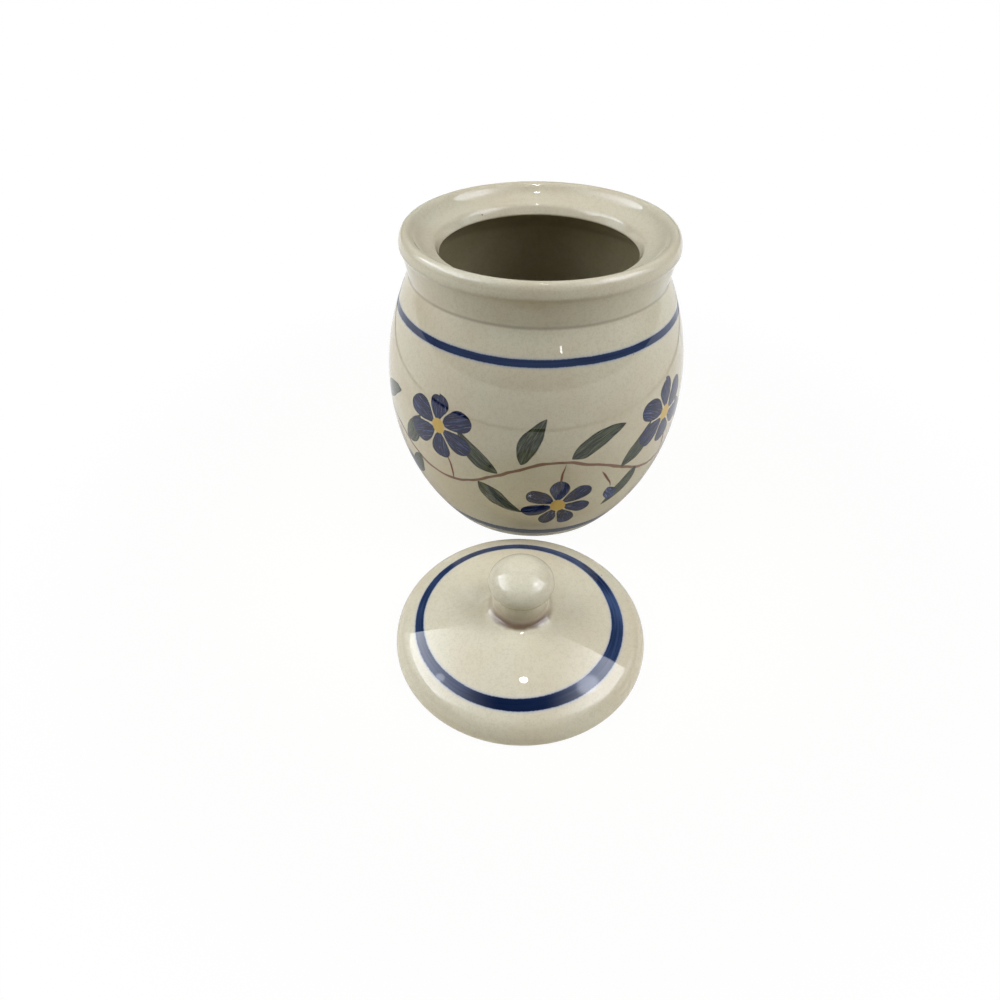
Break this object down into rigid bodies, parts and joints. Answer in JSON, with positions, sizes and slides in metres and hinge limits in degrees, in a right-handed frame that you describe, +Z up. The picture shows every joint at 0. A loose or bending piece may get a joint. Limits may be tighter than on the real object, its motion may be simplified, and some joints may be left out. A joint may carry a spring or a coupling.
{
  "type": "lidded ceramic jar",
  "caption": "Round-bellied glazed ceramic jar with a recessed lid seat inside its lip; its domed lid with a flattened ball knob is off and lies flat in front.",
  "frame": {"origin": "centre of the jar's flat base, on the surface that the jar and its lid stand on", "axes": "+Z up along the jar's axis, -Y towards the viewer and the lid, +X to the viewer's right"},
  "size_m": [0.133, 0.2203, 0.129],
  "materials": {
    "speckled_glaze": "gloss"
  },
  "bodies": {
    "jar": {"jar_body": "speckled_glaze"},
    "lid": {"lid": "speckled_glaze", "lid_knob": "speckled_glaze"}
  },
  "joints": [
    {"name": "lid_lift", "type": "slide", "parent": "jar", "child": "lid", "axis": [-0.0375, -0.4986, 0.866], "range_m": [0, 0.17]}
  ]
}
